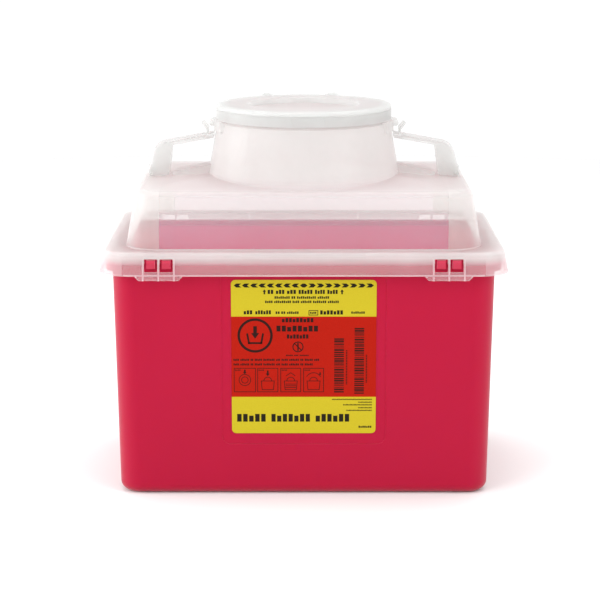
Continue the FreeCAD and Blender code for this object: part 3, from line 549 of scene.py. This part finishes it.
def upper_print():
    """Lines of plain marks on the upper yellow band."""
    shapes = words(left=29.0, low=114.4, height=3.3, pitch=2.3, gap=1.55,
                   widths=(5.0, 7.2, 7.6, 11.4, 8.2, 8.6))
    for x in (26.4, 87.7):
        shapes += arrow(tip=(x, 118.0), length=3.9, width=2.8, way=UPWARD)
    shapes += words(left=34.4, low=110.5, height=2.0, pitch=1.5, widths=(12.4, 3.4, 15.2, 9.4))
    shapes += words(left=27.0, low=107.0, height=2.0, pitch=1.5, gap=0.9,
                    widths=(6.2, 13.6, 5.6, 8.8, 10.8, 9.0))
    shapes += words(left=10.0, low=97.9, height=3.2, pitch=2.3, gap=1.9, widths=(7.3, 12.8))
    shapes += words(left=35.2, low=98.2, height=2.0, pitch=1.5, gap=0.9, widths=(3.6, 3.6, 9.6))
    shapes += frame_lines(left=61.3, low=97.0, width=7.6, height=4.2, line=0.55)
    shapes += words(left=62.5, low=98.3, height=1.6, pitch=1.3, widths=(5.2,))
    shapes += words(left=70.5, low=97.7, height=3.4, pitch=2.6, widths=(18.6,))
    shapes += words(left=95.1, low=98.4, height=1.8, pitch=1.5, widths=(11.0,))
    return shapes


def drop_in_sign(centre, radius):
    """Generic round sign: a ring, with an arrow pointing down into an open tray."""
    x, y = centre
    head, foot = y + 1.0, y - 6.2
    wide, narrow = 6.2, 4.9
    tray = [(x - wide, head), (x - narrow, foot), (x + narrow, foot), (x + wide, head)]
    shapes = hoop(centre, radius, line=2.0)
    shapes += arrow(tip=(x, y - 2.6), length=10.2, width=6.4, way=DOWNWARD)
    return shapes + stroke(tray, line=1.5)


def crossed_out_sign(centre, radius):
    """Small round sign: an upright bar, struck through."""
    x, y = centre
    slant, half_bar = 2.8, 2.7
    shapes = hoop(centre, radius, line=0.8)
    shapes += stroke([(x - slant, y + slant), (x + slant, y - slant)], line=0.8)
    return shapes + stroke([(x, y - half_bar), (x, y + half_bar)], line=1.1)


def small_print_line(low, right):
    """A line of small words, as many as fit before `right`."""
    left, gap = 1.6, 0.9
    widths = [4.6, 7.2, 2.4, 6.0, 9.2, 3.4, 5.2, 8.0, 2.6, 6.6, 4.2, 7.8, 5.0]
    while left + sum(widths) + gap * (len(widths) - 1) > right:
        widths.pop()
    return words(left, low, height=1.7, widths=widths, pitch=1.25, gap=gap)


def middle_print():
    """Signs, headings and the two lines of small print on the red band."""
    shapes = drop_in_sign(centre=(18.9, 80.6), radius=13.0)
    shapes += words(left=40.2, low=91.4, height=3.4, pitch=2.85, widths=(25.6,))
    shapes += words(left=44.1, low=78.1, height=3.4, pitch=2.5, widths=(17.7,))
    shapes += words(left=35.9, low=83.9, height=4.7, pitch=4.2, widths=(33.9,))
    shapes += crossed_out_sign(centre=(52.9, 71.3), radius=4.0)
    shapes += words(left=43.4, low=63.8, height=1.1, pitch=1.1, gap=0.8, widths=(5.6, 3.6, 7.4))
    return shapes + small_print_line(low=59.9, right=76.7) + small_print_line(low=56.1, right=69.3)


def tub(x):
    """Line drawing of a small container with a round lid, at x."""
    wide, tall = 10.4, 7.2
    foot_share, lid_share = 0.43, 0.3
    head, foot = PICTURE_BASE + tall / 2, PICTURE_BASE - tall / 2
    shapes = stroke([(x - wide / 2, head), (x - wide * foot_share, foot),
                     (x + wide * foot_share, foot), (x + wide / 2, head),
                     (x - wide / 2, head)], PICTURE_LINE)
    return shapes + hoop((x, head), wide * lid_share, PICTURE_LINE, (0.0, 0.5), 20)


def opening_picture(x):
    """An arrow over a round opening."""
    centre = (x, PICTURE_BASE + 4.4)
    shapes = hoop(centre, 4.6, PICTURE_LINE) + hoop(centre, 2.6, PICTURE_LINE)
    return shapes + arrow((x, PICTURE_BASE + 9.3), length=3.6, width=3.0, way=DOWNWARD)


def dropping_picture(x):
    """An arrow into a container."""
    return tub(x) + arrow((x, PICTURE_BASE + 7.6), length=4.6, width=3.0, way=DOWNWARD)


def full_picture(x):
    """A container with level lines in it and a roof over it."""
    half = 3.4
    eaves, ridge = PICTURE_BASE + 8.0, PICTURE_BASE + 10.4
    shapes = tub(x)
    for step in range(3):
        shapes.append(block(x - 4.2, PICTURE_BASE - 2.0 + 1.4 * step, 8.4, PICTURE_LINE))
    return shapes + stroke([(x - half, eaves), (x, ridge), (x + half, eaves)], PICTURE_LINE)


def closing_picture(x):
    """A container with a curved arrow over it."""
    shapes = tub(x)
    shapes += hoop((x, PICTURE_BASE + 4.0), 6.4, PICTURE_LINE, (0.08, 0.42), 36)
    return shapes + arrow((x + 5.2, PICTURE_BASE + 8.4), length=2.4, width=2.0, way=DOWNWARD)


def picture_boxes():
    """Four framed pictures of how a container is used, in plain line drawing."""
    drawings = (opening_picture, dropping_picture, full_picture, closing_picture)
    shapes = []
    for (left, right), drawing in zip(PICTURE_SIDES, drawings):
        shapes += frame_lines(left, PICTURE_LOW, right - left, PICTURE_HIGH - PICTURE_LOW,
                              PICTURE_LINE)
        shapes += words(left + 1.0, PICTURE_HIGH - 2.2, height=0.9, widths=(4.6,), pitch=1.1)
        shapes += drawing((left + right) / 2)
    return shapes


def stripe_block(left, low, width, height, seed):
    """Level stripes of mixed thickness that stand for a scanning code and carry none."""
    thinnest, thicker = 0.5, 0.3
    narrowest, wider = 0.5, 0.25
    longest_step = 1.6
    shapes = []
    level, step = low, seed
    while level < low + height - longest_step:
        step = (step * 7 + 3) % 11
        thick = thinnest + thicker * (step % 4)
        shapes.append(block(left, level, width, thick))
        level += thick + narrowest + wider * (step % 3)
    return shapes


def side_print():
    """The two stripe blocks on the right, with the thin column of marks beside each."""
    shapes = stripe_block(left=81.7, low=33.8, width=7.7, height=45.9, seed=1)
    shapes += stripe_block(left=97.8, low=32.8, width=7.6, height=54.5, seed=4)
    pitch = 1.3
    for left, low, count in ((91.0, 40.5, 22), (106.8, 42.0, 18)):
        shapes += [block(left, low + pitch * k, width=1.1, height=0.8) for k in range(count)]
    return shapes


def lower_print():
    """Lower yellow band: one large line and the small print at its right, as plain marks."""
    shapes = words(left=4.2, low=9.6, height=6.4, pitch=4.6, gap=3.4, widths=(24.0, 32.0, 28.0))
    for low, width in ((27.6, 32.0), (25.3, 10.9), (23.1, 23.0), (20.7, 10.9), (18.5, 20.4)):
        shapes += words(SMALL_PRINT_RIGHT - width, low, height=1.0, widths=(width,), pitch=1.05)
    return shapes + words(left=101.4, low=4.5, height=1.7, widths=(10.6,), pitch=1.5)


def printed(name, shapes, material):
    """One piece of ink: every outline as a thin closed plate on the label's face."""
    corner, up, out = label_axes()
    mesh = bmesh.new()
    for outline in shapes:
        rings = []
        for lift in (0.0, INK_THICKNESS * MM):
            rings.append([mesh.verts.new(corner + ALONG_X * x * MM + up * y * MM + out * lift)
                          for x, y in outline])
        count = len(outline)
        mesh.faces.new(rings[1])
        mesh.faces.new(rings[0][::-1])
        for k in range(count):
            after = (k + 1) % count
            mesh.faces.new((rings[0][k], rings[0][after], rings[1][after], rings[1][k]))
    bmesh.ops.recalc_face_normals(mesh, faces=mesh.faces)
    data = bpy.data.meshes.new(name)
    mesh.to_mesh(data)
    mesh.free()
    data.materials.append(material)
    piece = bpy.data.objects.new(name, data)
    bpy.context.scene.collection.objects.link(piece)
    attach(piece, "container")
    return piece


# ---- studio ----------------------------------------------------------------------------------
# Metres, degrees and watts.  The camera was fitted to the outline in the photograph.
CAMERA_PLACE = (0.0, -1.6141, 0.4760)
CAMERA_TILT = 11.774                              # below level
CAMERA_LENS = 117.5                               # millimetres, on a sensor 36 mm wide
CAMERA_SHIFT = -0.0063                            # the object stands a little off the middle
FLOOR_RADIUS = 2.0
FLOOR_SIDES = 128
FLOOR_GAP = 0.2 * MM                              # keeps the floor just clear of the bin
WORLD_LIGHT = 1.0
WORLD_SEEN = 1.05


def floor():
    """Plain pale floor that reaches well past the view."""
    mesh = bpy.data.meshes.new("floor")
    rim = []
    for k in range(FLOOR_SIDES):
        turn = 2 * pi * k / FLOOR_SIDES
        rim.append((FLOOR_RADIUS * cos(turn), FLOOR_RADIUS * sin(turn),
                    whole_low.z - FLOOR_GAP))
    mesh.from_pydata(rim, [], [list(range(FLOOR_SIDES))])
    material, tree = new_material("floor_paper")
    shader = node(tree, "ShaderNodeBsdfPrincipled", Roughness=0.8)
    link(tree, colours(tree, noise(tree, scale=3.0), (0.71, 0.71, 0.71), (0.73, 0.73, 0.73)),
         shader.inputs["Base Color"])
    put_out(tree, shader.outputs["BSDF"])
    mesh.materials.append(material)
    plane = bpy.data.objects.new("floor", mesh)
    bpy.context.scene.collection.objects.link(plane)


def surround():
    """White surround, dimmer as a light than as the backdrop that the camera sees."""
    world = bpy.data.worlds.new("studio")
    bpy.context.scene.world = world
    world.use_nodes = True
    tree = world.node_tree
    shade = tree.nodes["Background"]
    shade.inputs["Color"].default_value = (1, 1, 1, 1)
    seen = tree.nodes.new("ShaderNodeLightPath").outputs["Is Camera Ray"]
    link(tree, between(tree, seen, WORLD_LIGHT, WORLD_SEEN), shade.inputs["Strength"])


def soft_lamp(name, where, size, power):
    """Square area lamp aimed at the middle of the object."""
    data = bpy.data.lights.new(name, "AREA")
    data.size = size
    data.energy = power
    lamp = bpy.data.objects.new(name, data)
    bpy.context.scene.collection.objects.link(lamp)
    lamp.location = where
    lamp.rotation_mode = "QUATERNION"
    lamp.rotation_quaternion = (middle - Vector(where)).to_track_quat("-Z", "Y")


def camera():
    """Long lens in front of the object, a little above it and tilted down."""
    data = bpy.data.cameras.new("camera")
    data.sensor_width = 36.0
    data.lens = CAMERA_LENS
    data.shift_x = CAMERA_SHIFT
    data.clip_start, data.clip_end = 0.05, 60.0
    view = bpy.data.objects.new("camera", data)
    bpy.context.scene.collection.objects.link(view)
    view.location = CAMERA_PLACE
    view.rotation_euler = (radians(90 - CAMERA_TILT), 0, 0)
    bpy.context.scene.camera = view


# ---- the object ------------------------------------------------------------------------------
STRAP_MILK = ((0.76, 0.765, 0.76), (0.79, 0.795, 0.79))
CAP_MILK = ((0.80, 0.807, 0.802), (0.83, 0.837, 0.832))
INK_ON_YELLOW = ((0.010, 0.008, 0.004), (0.018, 0.014, 0.007))
INK_ON_RED = ((0.016, 0.005, 0.004), (0.028, 0.008, 0.006))

strap = clear_plastic("strap_polypropylene", haze=0.36, steep=0.75, tints=STRAP_MILK)
cap = clear_plastic("cap_polypropylene", haze=0.66, steep=0.85, tints=CAP_MILK)
cover("base_bin", red_plastic())
cover("lid_top", top_plastic())
cover("handle_left", strap)
cover("handle_right", strap)
cover("cap_ring", cap)
cover("entry_flap", cap)
cover("front_label", printed_film())

dark_on_yellow = ink("ink_on_yellow", *INK_ON_YELLOW)
dark_on_red = ink("ink_on_red", *INK_ON_RED)
printed("label_fill_line", fill_line(), dark_on_yellow)
printed("label_upper_print", upper_print(), dark_on_yellow)
printed("label_middle_print", middle_print() + picture_boxes(), dark_on_red)
printed("label_side_print", side_print(), dark_on_red)
printed("label_lower_print", lower_print(), dark_on_yellow)

floor()
surround()
soft_lamp("key", where=(-1.5, -1.5, 1.2), size=1.2, power=23)
soft_lamp("fill", where=(1.5, -1.2, 1.1), size=1.5, power=21)
soft_lamp("side", where=(-1.4, 0.0, 0.4), size=0.8, power=11)
soft_lamp("overhead", where=(0.0, 0.4, 2.4), size=2.0, power=38)
camera()
bpy.context.scene.view_settings.view_transform = "Standard"
